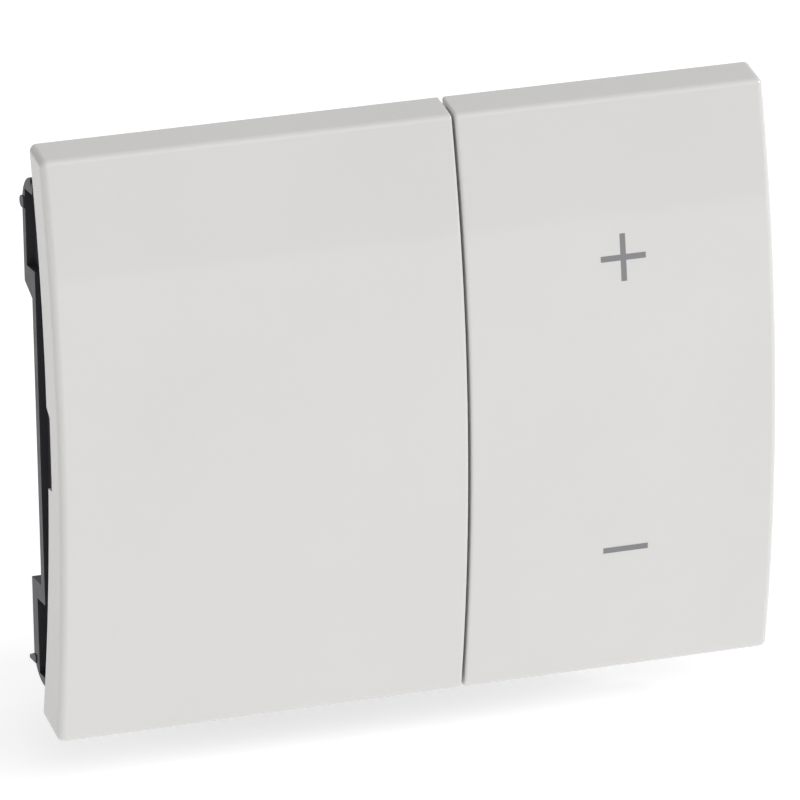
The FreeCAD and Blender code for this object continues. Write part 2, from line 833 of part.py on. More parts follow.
def build_spring(name, x, z):
    """Open coil between the carrier's floor and the plunger's head."""
    rest_length = (
        "floor_front_y - plunger_head_front_y - plunger_head_thickness - 2 * spring_wire_radius"
    )
    line = doc.addObject("Part::Helix", name + "_line")
    bind(line, "Radius", "spring_radius")
    bind(line, "Height", rest_length)
    bind(line, "Pitch", f"({rest_length}) / spring_turns")
    wire = doc.addObject("Part::Circle", name + "_section")
    bind(wire, "Radius", "spring_wire_radius")
    bind(wire, ".Placement.Base.x", "spring_radius")
    wire.Placement.Rotation = FreeCAD.Rotation(FreeCAD.Vector(1, 0, 0), 90)
    coil = doc.addObject("Part::Sweep", name)
    coil.Sections = [wire]
    coil.Spine = (line, ["Edge1"])
    coil.Solid = True
    coil.Frenet = True
    coil.Placement.Rotation = FreeCAD.Rotation(FreeCAD.Vector(1, 0, 0), 90)
    bind(coil, ".Placement.Base.x", x)
    bind(coil, ".Placement.Base.y", "floor_front_y - spring_wire_radius")
    bind(coil, ".Placement.Base.z", z)
    return coil


for side in ("left", "right"):
    for end, direction in (("up", "1"), ("down", "-1")):
        tag = f"{side}_{end}"
        centre = (f"{side}_plunger_x", f"{direction} * plunger_z")
        x, z = centre
        head_rear = "plunger_head_front_y + plunger_head_thickness"
        head = cylinder(
            "head_" + tag, "y", centre, "plunger_head_front_y", head_rear, "plunger_head_radius"
        )
        stem = cylinder(
            "stem_" + tag, "y", centre, head_rear + " - weld", "plunger_tip_y", "plunger_stem_radius"
        )
        piece(join("plunger_" + tag, head, stem), "plunger_" + tag)
        piece(build_spring("plunger_spring_" + tag, x, z), "plunger_spring_" + tag)
        case = box(
            "switch_case_" + tag,
            around(x, "switch_half_size"),
            ("switch_front_y", "board_front_y"),
            around(z, "switch_half_size"),
        )
        case_edges = rounded(
            "switch_round_" + tag, case, "switch_edge_radius", lambda edge: runs_along(edge, "y")
        )
        hole = cylinder(
            "switch_well_" + tag,
            "y",
            centre,
            "switch_front_y - overcut",
            "switch_well_y",
            "button_radius + button_clearance",
        )
        piece(cut("tact_switch_" + tag, case_edges, hole), "tact_switch_" + tag)
        piece(
            cylinder("tact_button_" + tag, "y", centre, "button_front_y", "button_rear_y", "button_radius"),
            "tact_button_" + tag,
        )


# ---------------------------------------------------------------- boards and what they carry

pins = []
for i in range(6):
    x = f"({i} - 2.5) * header_pitch"
    pins.append(
        box(
            f"header_pin_{i + 1}",
            around(x, "header_pin_half"),
            ("board_front_y - header_pin_overrun / 2", "power_rear_y + header_pin_overrun"),
            around("header_z", "header_pin_half"),
        )
    )
header_pins = piece(join("header_pins", *pins), "header_pins")
strip = box(
    "header_strip_block",
    mirrored("3 * header_pitch"),
    ("board_rear_y", "power_front_y"),
    around("header_z", "header_half_width"),
)
piece(cut("header_strip", strip, header_pins), "header_strip")

control = box(
    "control_board_blank",
    mirrored("board_half_width"),
    ("board_front_y", "board_rear_y"),
    mirrored("board_half_height"),
)
control_edges = rounded(
    "control_board_round", control, "board_corner_radius", lambda edge: runs_along(edge, "y")
)
through_board = ("board_front_y - overcut", "board_rear_y + overcut")
board_holes = [
    cylinder(f"board_hole_{i}", "y", centre, *through_board, "screw_hole_radius")
    for i, centre in enumerate(SCREWS, start=1)
]
piece(cut("control_board", control_edges, header_pins, *board_holes), "control_board")

power = box(
    "power_board_blank",
    mirrored("power_half_width"),
    ("power_front_y", "power_rear_y"),
    mirrored("board_half_height"),
)
piece(cut("power_board", power, header_pins), "power_board")

chip = box(
    "chip_block",
    around("chip_x", "chip_half_size"),
    ("board_front_y - chip_thickness", "board_front_y"),
    mirrored("chip_half_size"),
)
chip_front = number("board_front_y - chip_thickness")
piece(
    rounded(
        "microcontroller",
        chip,
        "chip_chamfer",
        lambda edge: abs(middle_of(edge).y - chip_front) < 0.01 or runs_along(edge, "y"),
    ),
    "microcontroller",
)

for number_of, side in ((1, "-1"), (2, "1")):
    name = f"power_transistor_{number_of}"
    x = f"{side} * transistor_x"
    case_low_z = "transistor_z - transistor_half_height"
    case = box(
        name + "_case",
        around(x, "transistor_half_width"),
        ("power_front_y - transistor_thickness", "power_front_y"),
        around("transistor_z", "transistor_half_height"),
    )
    legs = [
        box(
            f"{name}_leg_{k}",
            around(f"{x} + {k} * leg_pitch", "leg_half_width"),
            ("power_front_y - leg_thickness", "power_front_y"),
            (f"{case_low_z} - leg_length", f"{case_low_z} + weld"),
        )
        for k in (-1, 0, 1)
    ]
    piece(join(name, case, *legs), name)

spreader = box(
    "spreader_plate",
    mirrored("spreader_half_width"),
    ("power_front_y - transistor_thickness - spreader_thickness", "power_front_y - transistor_thickness"),
    around("transistor_z", "spreader_half_height"),
)
piece(
    rounded("heat_spreader", spreader, "spreader_thickness", lambda edge: runs_along(edge, "y")),
    "heat_spreader",
)

choke_centre = ("choke_x", "choke_z")
core_stop = "core_start_y + core_height"
core = cylinder("core_disc", "y", choke_centre, "core_start_y", core_stop, "core_outer_radius")
core_hole = cylinder(
    "core_hole", "y", choke_centre, "core_start_y - weld", core_stop + " + weld", "core_inner_radius"
)
piece(cut("choke_core", core, core_hole), "choke_core")


def build_winding():
    """Twelve square turns of wire round the ring, in two groups."""
    wire = number("choke_wire_radius")
    low = number("core_start_y") - wire
    high = number(core_stop) + wire
    inner = number("core_inner_radius") - wire
    outer = number("core_outer_radius") + wire
    path = Part.makePolygon([
        FreeCAD.Vector(inner, low, 0),
        FreeCAD.Vector(outer, low, 0),
        FreeCAD.Vector(outer, high, 0),
        FreeCAD.Vector(inner, high, 0),
        FreeCAD.Vector(inner, low, 0),
    ])
    middle = FreeCAD.Vector((inner + outer) / 2, low, 0)
    section = Part.Wire(Part.Circle(middle, FreeCAD.Vector(1, 0, 0), wire).toShape())
    turn = path.makePipeShell([section], True, False, 1)
    turns = []
    for degrees in (20, 45, 70, 95, 120, 145, 215, 240, 265, 290, 315, 340):
        copy = turn.copy()
        copy.rotate(FreeCAD.Vector(0, 0, 0), FreeCAD.Vector(0, 1, 0), degrees)
        turns.append(copy)
    item = doc.addObject("Part::Feature", "choke_winding")
    item.Shape = Part.makeCompound(turns)
    bind(item, ".Placement.Base.x", "choke_x")
    bind(item, ".Placement.Base.z", "choke_z")
    return item


piece(build_winding(), "choke_winding")

film = box(
    "film_block",
    around("film_x", "film_half_length"),
    ("power_rear_y", "power_rear_y + film_height"),
    around("film_z", "film_half_width"),
)
film_rear = number("power_rear_y + film_height")
piece(
    rounded(
        "film_capacitor",
        film,
        "film_edge_radius",
        lambda edge: abs(middle_of(edge).y - film_rear) < 0.01 or runs_along(edge, "y"),
    ),
    "film_capacitor",
)

can_centre = ("power_rear_y + electrolytic_radius + electrolytic_lift", "electrolytic_z")
can = cylinder(
    "can",
    "x",
    can_centre,
    "electrolytic_start_x",
    "electrolytic_start_x + electrolytic_length",
    "electrolytic_radius",
)
crimp = doc.addObject("Part::Torus", "can_crimp")
crimp.Placement.Rotation = FreeCAD.Rotation(FreeCAD.Vector(0, 1, 0), 90)
bind(crimp, "Radius1", "electrolytic_radius + crimp_radius / 3")
bind(crimp, "Radius2", "crimp_radius")
bind(crimp, ".Placement.Base.x", "electrolytic_start_x + crimp_inset")
bind(crimp, ".Placement.Base.y", can_centre[0])
bind(crimp, ".Placement.Base.z", can_centre[1])
piece(cut("electrolytic_capacitor", can, crimp), "electrolytic_capacitor")

disc = cylinder(
    "disc",
    "y",
    ("varistor_x", "varistor_z"),
    "power_rear_y",
    "power_rear_y + varistor_height",
    "varistor_radius",
)
piece(
    rounded(
        "varistor",
        disc,
        "varistor_edge_radius",
        lambda edge: middle_of(edge).y > number("power_rear_y + varistor_height / 2"),
    ),
    "varistor",
)

tube_centre = ("power_rear_y + fuse_radius + fuse_lift", "fuse_z")
tube = cylinder(
    "fuse_tube", "x", tube_centre, "fuse_x - fuse_half_length", "fuse_x + fuse_half_length", "fuse_radius"
)
cap_outer = "(fuse_half_length + fuse_cap_thickness)"
cap_inner = "(fuse_half_length - fuse_cap_length)"
caps = [
    cylinder(f"fuse_cap_{i}", "x", tube_centre, low, high, "fuse_radius + fuse_cap_thickness")
    for i, (low, high) in enumerate(
        [
            (f"fuse_x - {cap_outer}", f"fuse_x - {cap_inner}"),
            (f"fuse_x + {cap_inner}", f"fuse_x + {cap_outer}"),
        ],
        start=1,
    )
]
piece(join("fuse", tube, *caps), "fuse")


# ---------------------------------------------------------------- terminals

POLES = ("-1", "0", "1")
block = box(
    "terminal_blank",
    mirrored("terminal_half_width"),
    ("power_rear_y", "housing_rear_y"),
    ("terminal_low_z", "terminal_high_z"),
)
ports = []
slots = []
clips = []
for i, pole in enumerate(POLES, start=1):
    x = f"{pole} * terminal_pitch"
    ports.append(
        box(
            f"wire_port_{i}",
            around(x, "port_half_width"),
            ("port_floor_y", "housing_rear_y + overcut"),
            ("port_low_z", "port_high_z"),
        )
    )
    slots.append(
        box(
            f"release_slot_{i}",
            around(x, "release_half_width + release_clearance"),
            ("release_slot_y", "housing_rear_y + overcut"),
            ("release_low_z - release_clearance", "release_high_z + release_clearance"),
        )
    )
    lever = box(
        f"release_block_{i}",
        around(x, "release_half_width"),
        ("release_front_y", "housing_rear_y + release_proud"),
        ("release_low_z", "release_high_z"),
    )
    lever_end = number("housing_rear_y + release_proud")
    piece(
        rounded(
            f"release_button_{i}",
            lever,
            "release_edge_radius",
            lambda edge: abs(middle_of(edge).y - lever_end) < 0.01,
        ),
        f"release_button_{i}",
    )
    strip = box(
        f"clip_strip_{i}",
        around(x, "port_half_width - clip_side_gap"),
        ("port_floor_y", "port_floor_y + clip_length"),
        ("port_low_z", "port_low_z + clip_thickness"),
    )
    leaf = box(
        f"clip_leaf_{i}",
        around(x, "port_half_width - 1.5 * clip_side_gap"),
        ("port_floor_y + clip_side_gap", "port_floor_y + clip_length + clip_side_gap"),
        ("port_low_z", "port_low_z + clip_thickness"),
    )
    leaf.Placement.Rotation = FreeCAD.Rotation(FreeCAD.Vector(1, 0, 0), number("clip_lean"))
    clips.append(join(f"clip_{i}", strip, leaf))
piece(cut("terminal_block", block, *ports, *slots), "terminal_block")
piece(join("terminal_clips", *clips), "terminal_clips")


# ---------------------------------------------------------------- rear housing and screws

def build_housing():
    """Cup behind the carrier, with screw bosses, board posts, vents and the terminal window."""
    body = new_body("rear_housing")
    shell = front_sketch(body, "shell_outline", "housing_rear_y")
    draw_rectangle(shell, *mirrored("housing_half_width"), *mirrored("housing_half_height"))
    pad(body, "shell", shell, "housing_rear_y - floor_rear_y")

    def long_edge(edge):
        return runs_along(edge, "y")

    def rear_edge(edge):
        return all(abs(v.Point.y - number("housing_rear_y")) < 0.01 for v in edge.Vertexes)

    fillet(body, "shell_corners", "housing_corner_radius", long_edge)
    fillet(body, "shell_rear_edge", "housing_rear_radius", rear_edge)

    hollow = front_sketch(body, "hollow_outline", "floor_rear_y")
    hollow_x = mirrored("housing_half_width - housing_wall")
    draw_rectangle(hollow, *hollow_x, *mirrored("housing_half_height - housing_wall"))
    pocket(body, "hollow", hollow, "housing_rear_y - housing_wall - floor_rear_y")

    def inner_corner(edge):
        spot = middle_of(edge)
        inside = abs(abs(spot.x) - number("housing_half_width - housing_wall")) < 0.01
        return inside and runs_along(edge, "y")

    fillet(body, "hollow_corners", "housing_corner_radius - housing_wall", inner_corner)

    bosses = front_sketch(body, "boss_outline", "housing_rear_y - housing_wall / 2")
    draw_circles(bosses, SCREWS, "screw_boss_radius")
    pad(body, "bosses", bosses, "housing_rear_y - housing_wall / 2 - board_rear_y")
    pilots = front_sketch(body, "pilot_outline", "board_rear_y")
    draw_circles(pilots, SCREWS, "screw_radius")
    pocket(body, "pilot_holes", pilots, "screw_end_y - board_rear_y + overcut")
    posts = front_sketch(body, "post_outline", "housing_rear_y - housing_wall / 2")
    draw_circles(posts, [("-post_x", "post_z"), ("post_x", "post_z")], "post_radius")
    pad(body, "board_posts", posts, "housing_rear_y - housing_wall / 2 - power_rear_y")

    window = front_sketch(body, "window_outline", "housing_rear_y - 2 * housing_wall")
    draw_rectangle(window, *mirrored("terminal_half_width"), "terminal_low_z", "terminal_high_z")
    pocket(body, "terminal_window", window, "2 * housing_wall + overcut")
    for i in range(-3, 4):
        name = f"vent_{i + 4}"
        vent = front_sketch(body, name + "_outline", "housing_rear_y - 2 * housing_wall")
        draw_rectangle(vent, *around(f"{i} * vent_pitch", "vent_half_width"), "vent_low_z", "vent_high_z")
        pocket(body, name, vent, "2 * housing_wall + overcut")
    return body


piece(build_housing(), "rear_housing")

screw_solids = []
for i, centre in enumerate(SCREWS, start=1):
    shank = cylinder(f"screw_shank_{i}", "y", centre, "floor_front_y + weld", "screw_end_y", "screw_radius")
    head = cylinder(
        f"screw_head_{i}",
        "y",
        centre,
        "floor_front_y",
        "floor_front_y + screw_head_height",
        "screw_head_radius",
    )
    drive = [
        box(
            f"screw_drive_{i}_{letter}",
            around(centre[0], long_x),
            ("floor_front_y - overcut", "floor_front_y + screw_head_height / 2"),
            around(centre[1], long_z),
        )
        for letter, long_x, long_z in (
            ("a", "drive_half_length", "drive_half_width"),
            ("b", "drive_half_width", "drive_half_length"),
        )
    ]
    screw_solids.append(cut(f"screw_{i}", join(f"screw_blank_{i}", shank, head), *drive))
piece(join("housing_screws", *screw_solids), "housing_screws")


# ---------------------------------------------------------------- checks and export

doc.recompute()
for item in doc.Objects:
    if "Invalid" in item.State or "Error" in item.State:
        raise RuntimeError(f"{item.Name} failed: {item.State}")
os.makedirs("parts", exist_ok=True)
for item in PIECES:
    if item.Shape.isNull() or not item.Shape.isValid():
        raise RuntimeError(f"{item.Label} has no valid shape")
    item.Shape.exportStep(f"parts/{item.Label}.step")
    print(f"{item.Label}: {len(item.Shape.Solids)} solid(s), {item.Shape.Volume:.1f} mm3")
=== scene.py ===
import itertools
import math

import bmesh
import bpy
from mathutils import Matrix, Vector


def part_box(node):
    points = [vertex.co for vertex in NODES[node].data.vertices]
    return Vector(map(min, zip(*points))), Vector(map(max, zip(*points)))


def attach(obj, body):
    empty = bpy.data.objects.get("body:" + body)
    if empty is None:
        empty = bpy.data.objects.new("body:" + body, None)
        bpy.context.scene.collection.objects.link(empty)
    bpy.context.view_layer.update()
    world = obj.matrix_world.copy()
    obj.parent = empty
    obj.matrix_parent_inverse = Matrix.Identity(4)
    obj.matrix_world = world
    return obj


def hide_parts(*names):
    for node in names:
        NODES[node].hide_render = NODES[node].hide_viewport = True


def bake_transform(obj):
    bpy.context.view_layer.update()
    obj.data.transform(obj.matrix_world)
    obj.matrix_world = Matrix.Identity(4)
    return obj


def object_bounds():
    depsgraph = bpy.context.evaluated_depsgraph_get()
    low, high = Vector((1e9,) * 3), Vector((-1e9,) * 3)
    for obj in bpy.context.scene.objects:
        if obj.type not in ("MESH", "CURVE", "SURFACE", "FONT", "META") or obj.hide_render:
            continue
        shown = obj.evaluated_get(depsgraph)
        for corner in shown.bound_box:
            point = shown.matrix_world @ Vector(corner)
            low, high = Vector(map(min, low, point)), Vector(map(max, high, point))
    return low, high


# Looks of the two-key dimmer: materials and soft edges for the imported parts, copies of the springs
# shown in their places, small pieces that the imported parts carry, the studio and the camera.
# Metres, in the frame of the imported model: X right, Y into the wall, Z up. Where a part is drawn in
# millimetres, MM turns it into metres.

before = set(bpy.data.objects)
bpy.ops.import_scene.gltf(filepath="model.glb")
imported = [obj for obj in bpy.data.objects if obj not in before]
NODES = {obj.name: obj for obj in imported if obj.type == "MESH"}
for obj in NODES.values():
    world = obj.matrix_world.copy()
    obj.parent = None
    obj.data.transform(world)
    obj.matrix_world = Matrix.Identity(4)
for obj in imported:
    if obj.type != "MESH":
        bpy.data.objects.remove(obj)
CAD_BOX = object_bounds()
MM = 0.001


# ---------------------------------------------------------------- materials

# Most of a noise's values lie between these two, so a colour ramp runs from one to the other.
RAMP_START, RAMP_END = 0.3, 0.7


def new_material(name):
    """New material, with its node tree and its Principled shader."""
    material = bpy.data.materials.new(name)
    material.use_nodes = True
    tree = material.node_tree
    shader = tree.nodes["Principled BSDF"]
    return material, tree, shader


def add_node(tree, kind, inputs=None, **properties):
    """Node with its input values and its own properties set."""
    node = tree.nodes.new(kind)
    for key, value in properties.items():
        setattr(node, key, value)
    for key, value in (inputs or {}).items():
        node.inputs[key].default_value = value
    return node


def noise(tree, scale, detail=3.0, stretch=(1, 1, 1)):
    """Noise in the part's own metric space, so its grain keeps its real size."""
    coordinates = add_node(tree, "ShaderNodeTexCoord")
    mapping = add_node(tree, "ShaderNodeMapping", {"Scale": stretch})
    texture = add_node(tree, "ShaderNodeTexNoise", {"Scale": scale, "Detail": detail})
    tree.links.new(coordinates.outputs["Object"], mapping.inputs["Vector"])
    tree.links.new(mapping.outputs["Vector"], texture.inputs["Vector"])
    return texture.outputs["Fac"]


def spread(tree, source, low, high):
    """Map a 0 to 1 value onto a range."""
    node = add_node(tree, "ShaderNodeMapRange", {"To Min": low, "To Max": high})
    tree.links.new(source, node.inputs["Value"])
    return node.outputs["Result"]


def tint(tree, source, dark, light):
    """Blend of two colours by a value."""
    ramp = add_node(tree, "ShaderNodeValToRGB")
    start, end = ramp.color_ramp.elements
    start.position, end.position = RAMP_START, RAMP_END
    start.color, end.color = (*dark, 1), (*light, 1)
    tree.links.new(source, ramp.inputs["Fac"])
    return ramp.outputs["Color"]


def bump(tree, source, depth, strength):
    """Fine relief from a 0 to 1 value, with its depth in millimetres."""
    node = add_node(tree, "ShaderNodeBump", {"Strength": strength, "Distance": depth * MM})
    tree.links.new(source, node.inputs["Height"])
    return node.outputs["Normal"]


def glossy_white():
    """Glossy white plastic that lets a little light in and has a faint moulded waviness."""
    dark, light = (0.64, 0.634, 0.62), (0.655, 0.649, 0.635)
    smooth, dull = 0.035, 0.06
    material, tree, shader = new_material("key_white")
    shader.inputs["IOR"].default_value = 1.5
    shader.inputs["Subsurface Weight"].default_value = 0.15
    shader.inputs["Subsurface Radius"].default_value = (1.0, 0.9, 0.8)
    shader.inputs["Subsurface Scale"].default_value = 0.6 * MM
    cloud = noise(tree, 60, detail=2)
    tree.links.new(tint(tree, cloud, dark, light), shader.inputs["Base Color"])
    tree.links.new(spread(tree, noise(tree, 220), smooth, dull), shader.inputs["Roughness"])
    waviness = noise(tree, 1400, detail=1)
    tree.links.new(bump(tree, waviness, 0.002, 0.35), shader.inputs["Normal"])
    return material


def moulded(name, dark, light, roughness):
    """Satin moulded plastic with spark-eroded grain and a slight drift of colour."""
    drift = 0.07
    material, tree, shader = new_material(name)
    shader.inputs["IOR"].default_value = 1.49
    tree.links.new(tint(tree, noise(tree, 180), dark, light), shader.inputs["Base Color"])
    patches = spread(tree, noise(tree, 700), roughness - drift, roughness + drift)
    tree.links.new(patches, shader.inputs["Roughness"])
    grain = noise(tree, 6000, detail=4)
    tree.links.new(bump(tree, grain, 0.012, 0.6), shader.inputs["Normal"])
    return material


def metal(name, dark, light, roughness, stretch=(1, 1, 1)):
    """Metal with fine marks, which a stretch below 1 draws out along that axis."""
    smoother, duller = 0.08, 0.1
    material, tree, shader = new_material(name)
    shader.inputs["Metallic"].default_value = 1.0
    marks = noise(tree, 2500, detail=5, stretch=stretch)
    tree.links.new(tint(tree, marks, dark, light), shader.inputs["Base Color"])
    shine = spread(tree, marks, roughness - smoother, roughness + duller)
    tree.links.new(shine, shader.inputs["Roughness"])
    tree.links.new(bump(tree, marks, 0.004, 0.4), shader.inputs["Normal"])
    return material


def assign(material, *names):
    """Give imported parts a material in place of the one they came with."""
    for name in names:
        slots = NODES[name].data.materials
        slots.clear()
        slots.append(material)


white = glossy_white()
sign = moulded("sign_grey", (0.2, 0.2, 0.21), (0.22, 0.22, 0.232), 0.45)
carrier = moulded("carrier_anthracite", (0.026, 0.0255, 0.031), (0.033, 0.032, 0.039), 0.45)
housing = moulded("housing_grey", (0.195, 0.2, 0.207), (0.205, 0.21, 0.217), 0.5)
terminal = moulded("terminal_grey", (0.12, 0.12, 0.13), (0.15, 0.15, 0.16), 0.45)
release = moulded("release_orange", (0.62, 0.16, 0.02), (0.7, 0.2, 0.03), 0.35)
plunger = moulded("plunger_white", (0.62, 0.62, 0.6), (0.68, 0.68, 0.66), 0.4)
black = moulded("component_black", (0.02, 0.02, 0.022), (0.03, 0.03, 0.032), 0.4)
ivory = moulded("button_ivory", (0.6, 0.56, 0.45), (0.66, 0.62, 0.5), 0.4)
board = moulded("board_green", (0.012, 0.11, 0.045), (0.02, 0.15, 0.06), 0.32)
film = moulded("film_yellow", (0.6, 0.42, 0.06), (0.66, 0.47, 0.08), 0.35)
varistor = moulded("varistor_blue", (0.02, 0.08, 0.3), (0.03, 0.1, 0.36), 0.3)
ceramic = moulded("fuse_ceramic", (0.62, 0.6, 0.56), (0.7, 0.68, 0.64), 0.4)
ferrite = moulded("core_ferrite", (0.05, 0.05, 0.05), (0.08, 0.08, 0.08), 0.5)
steel = metal("steel", (0.45, 0.45, 0.47), (0.6, 0.6, 0.62), 0.3, stretch=(0.05, 1, 1))
tin = metal("tin", (0.6, 0.6, 0.6), (0.75, 0.75, 0.74), 0.35)
aluminium = metal("aluminium", (0.6, 0.61, 0.62), (0.74, 0.75, 0.76), 0.35, stretch=(1, 1, 0.05))
copper = metal("winding_copper", (0.45, 0.17, 0.07), (0.6, 0.26, 0.11), 0.3)

assign(white, "key_left", "key_right")
assign(sign, "plus_mark", "minus_mark")
assign(carrier, "carrier_frame")
assign(housing, "rear_housing")
assign(terminal, "terminal_block")
assign(release, "release_button_1", "release_button_2", "release_button_3")
assign(steel, "pivot_pin_left", "pivot_pin_right", "housing_screws", "terminal_clips")
assign(board, "control_board", "power_board")
assign(black, "header_strip", "microcontroller", "power_transistor_1", "power_transistor_2")
assign(tin, "header_pins")
assign(aluminium, "heat_spreader", "electrolytic_capacitor")
assign(ferrite, "choke_core")
assign(copper, "choke_winding")
assign(film, "film_capacitor")
assign(varistor, "varistor")
assign(ceramic, "fuse")

PLUNGER_TAGS = ("left_up", "left_down", "right_up", "right_down")
for tag in PLUNGER_TAGS:
    assign(plunger, "plunger_" + tag)
    assign(steel, "plunger_spring_" + tag)
    assign(black, "tact_switch_" + tag)
    assign(ivory, "tact_button_" + tag)


# ---------------------------------------------------------------- soft edges

# An edge is rounded where its faces meet at more than this angle.
SHARP_FROM = math.radians(35)


def soften(item, width, segments=2):
    """Small rounding on an object's edges, so they catch the light as moulded ones do."""
    bevel = item.modifiers.new("soft_edges", "BEVEL")
    bevel.width = width * MM
    bevel.segments = segments
    bevel.limit_method = "ANGLE"
    bevel.angle_limit = SHARP_FROM


for name in ("key_left", "key_right"):
    soften(NODES[name], 0.25, segments=3)
for name in ("carrier_frame", "rear_housing", "terminal_block"):
    soften(NODES[name], 0.12)
for name in ("header_strip", "heat_spreader", "microcontroller"):
    soften(NODES[name], 0.05)


# ---------------------------------------------------------------- drawing small pieces
# These builders work in millimetres. make_piece turns what they draw into a piece in metres.

TURNED_SIDES = 28
BLOCK_FACES = ((0, 1, 3, 2), (4, 6, 7, 5), (0, 4, 5, 1), (2, 3, 7, 6), (0, 2, 6, 4), (1, 5, 7, 3))


def make_piece(name, build, material, rounding=0.0):
    """Mesh piece fixed to the base, with its material."""
    mesh = bpy.data.meshes.new(name)
    shape = bmesh.new()
    build(shape)
    bmesh.ops.scale(shape, vec=(MM, MM, MM), verts=shape.verts)
    bmesh.ops.recalc_face_normals(shape, faces=shape.faces)
    shape.to_mesh(mesh)
    shape.free()
    mesh.materials.append(material)
    item = bpy.data.objects.new(name, mesh)
    bpy.context.scene.collection.objects.link(item)
    if rounding:
        soften(item, rounding)
    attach(item, "base")


def box_mm(node):
    """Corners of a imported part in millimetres."""
    low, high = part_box(node)
    return low / MM, high / MM


def add_block(shape, low, high):
    """Six-sided block between two corners."""
    spots = [shape.verts.new(corner) for corner in itertools.product(*zip(low, high))]
    for face in BLOCK_FACES:
        shape.faces.new([spots[i] for i in face])


def add_prism(shape, outline, low, high, place):
    """Outline of (a, b) points carried from low to high; place turns (a, b, along) into x, y, z."""
    near, far = ([shape.verts.new(place(a, b, along)) for a, b in outline] for along in (low, high))
    for i in range(len(outline)):
        after = (i + 1) % len(outline)
        shape.faces.new((near[i], near[after], far[after], far[i]))
    shape.faces.new(near)
    shape.faces.new(reversed(far))


def add_turned(shape, centre, profile):
    """Solid turned about a line along Y through centre (x, z), from (y, radius) pairs."""
    x, z = centre
    angles = [2 * math.pi * i / TURNED_SIDES for i in range(TURNED_SIDES)]
    rings = []
    for y, radius in profile:
        spots = [(x + radius * math.cos(t), y, z + radius * math.sin(t)) for t in angles]
        rings.append([shape.verts.new(spot) for spot in spots])
    for near, far in zip(rings, rings[1:]):
        for i in range(TURNED_SIDES):
            after = (i + 1) % TURNED_SIDES
            shape.faces.new((near[i], near[after], far[after], far[i]))
    shape.faces.new(rings[0])
    shape.faces.new(reversed(rings[-1]))


# ---------------------------------------------------------------- pieces on the housing

HOUSING_LOW, HOUSING_HIGH = box_mm("rear_housing")
TERMINAL_LOW, TERMINAL_HIGH = box_mm("terminal_block")
REAR_Y = HOUSING_HIGH.y
POLE_PITCH = (box_mm("release_button_3")[0].x - box_mm("release_button_1")[0].x) / 2
PORT_DEPTH = 6.1
# How far a raised piece reaches into the wall that carries it.
SINK = 0.15


def terminal_surround(shape):
    """Raised frame round the terminals, with two ribs that part the three poles."""
    gap, width, proud, half = 0.05, 1.1, 0.4, 0.35
    rib = POLE_PITCH / 2
    left, right = TERMINAL_LOW.x - gap, TERMINAL_HIGH.x + gap
    bottom, top = TERMINAL_LOW.z - gap, TERMINAL_HIGH.z + gap
    bars = [
        (left - width, right + width, top, top + width),
        (left - width, right + width, bottom - width, bottom),
        (left - width, left, bottom, top),
        (right, right + width, bottom, top),
        (-rib - half, -rib + half, bottom, top),
        (rib - half, rib + half, bottom, top),
    ]
    for x0, x1, z0, z1 in bars:
        add_block(shape, (x0, REAR_Y - SINK, z0), (x1, REAR_Y + proud, z1))


def strip_gauge(shape):
    """Raised bar with end stops, as long as a port is deep: the insulation to strip."""
    line, stop, proud, rise = 0.25, 1.1, 0.25, 5.0
    z = TERMINAL_HIGH.z + rise
    ends = (-PORT_DEPTH / 2, PORT_DEPTH / 2)
    add_block(shape, (ends[0], REAR_Y - SINK, z - line), (ends[1], REAR_Y + proud, z + line))
    for x in ends:
        add_block(shape, (x - line, REAR_Y - SINK, z - stop), (x + line, REAR_Y + proud, z + stop))


def ejector_marks(shape):
    """Low round pads that the mould's ejector pins leave."""
    radius, proud, edge, inset = 1.5, 0.1, 0.06, 4.6
    face = REAR_Y + proud
    pad = [(REAR_Y - SINK, radius), (face - edge, radius), (face, radius - edge)]
    for x in (HOUSING_LOW.x + inset, HOUSING_HIGH.x - inset):
        for z in (HOUSING_LOW.z + inset, HOUSING_HIGH.z - inset):
            add_turned(shape, (x, z), pad)


def side_ribs(shape):
    """Grip ribs along the housing's depth, five on each side, with run-in slopes at both ends."""
    start, stop, slope, proud, half = 2.2, REAR_Y - 2.0, 0.8, 0.35, 0.4
    pitch_up, pitch_over = 6.0, 8.0
    outline = [(start, -SINK), (start + slope, proud), (stop - slope, proud), (stop, -SINK)]
    for i in range(-2, 3):
        up, over = pitch_up * i, pitch_over * i
        for side, x in ((-1, HOUSING_LOW.x), (1, HOUSING_HIGH.x)):
            add_prism(shape, outline, up - half, up + half, lambda a, b, c: (x + side * b, a, c))
        for side, z in ((-1, HOUSING_LOW.z), (1, HOUSING_HIGH.z)):
            add_prism(shape, outline, over - half, over + half, lambda a, b, c: (c, a, z + side * b))


# ---------------------------------------------------------------- pieces on the boards

CHIP_LOW, CHIP_HIGH = box_mm("microcontroller")
PINS_LOW, PINS_HIGH = box_mm("header_pins")
BOARD_FRONT = box_mm("control_board")[0].y
POWER_REAR = box_mm("power_board")[1].y
# Surface-mounted parts (SMD) stand in columns of x and rows of z, clear of the chip and the screws.
SMD_COLUMNS = (-11.5, -8.2, -4.9, 9.0, 12.3)
SMD_ROWS = (-9, -6, -3, 0, 3, 6, 9)
SMD_SPOTS = list(itertools.product(SMD_COLUMNS, SMD_ROWS))
SMD_LENGTH, SMD_HALF_WIDTH, SMD_HEIGHT, SMD_END, SMD_PLATING = 1.6, 0.42, 0.45, 0.32, 0.03


